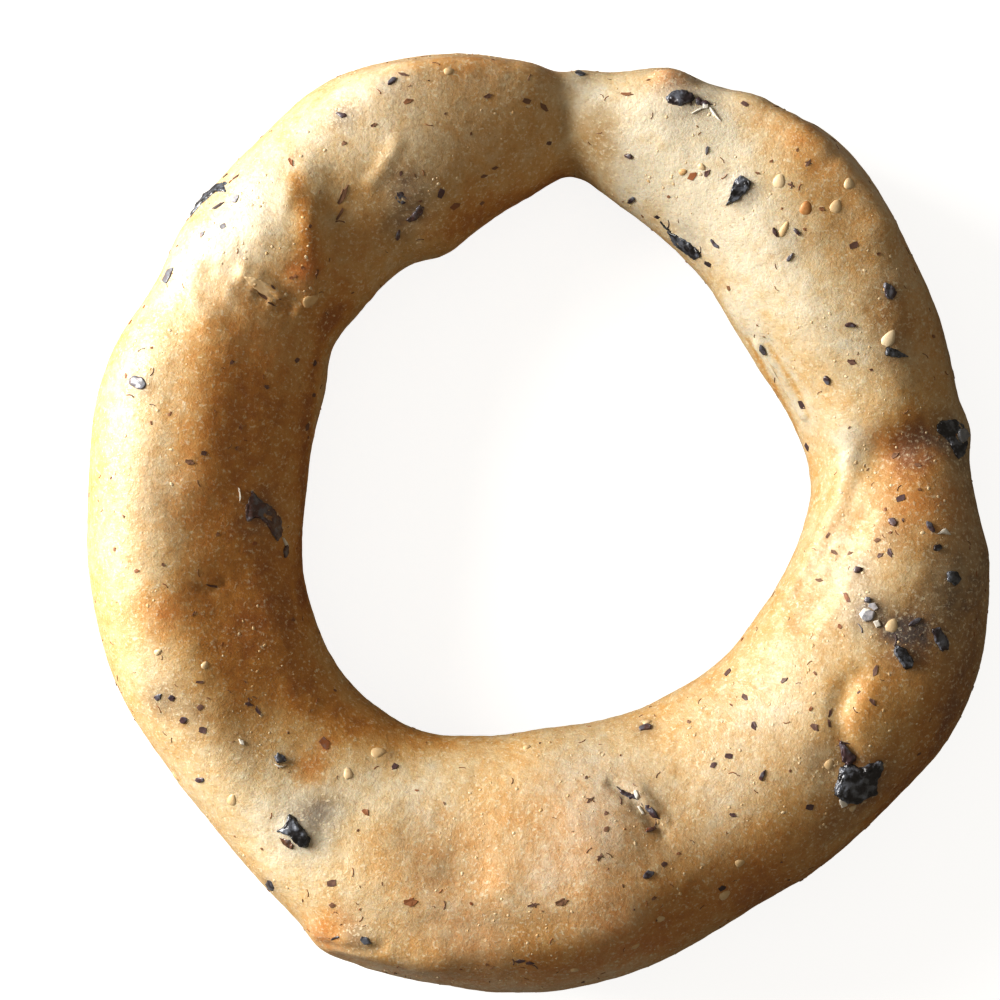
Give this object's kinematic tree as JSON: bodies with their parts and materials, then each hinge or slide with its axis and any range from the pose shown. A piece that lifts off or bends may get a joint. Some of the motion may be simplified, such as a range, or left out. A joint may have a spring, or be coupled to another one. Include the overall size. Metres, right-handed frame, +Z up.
{
  "type": "simit with olives",
  "caption": "Ring-shaped simit bread, hand-rolled and golden, with chopped olives, herb flecks and sesame seeds baked into its glossy crust.",
  "frame": {"origin": "middle of the ring's box, at the height of the flat foot that it rests on", "axes": "+Z up out of the top crust; +Y towards the narrow pinch where the rope of dough is thinnest"},
  "size_m": [0.1352, 0.141, 0.0281],
  "materials": {
    "crust": "satin",
    "olive": "gloss",
    "herb": "matte",
    "seed": "satin"
  },
  "bodies": {
    "root": {"simit": "crust"}
  },
  "joints": []
}
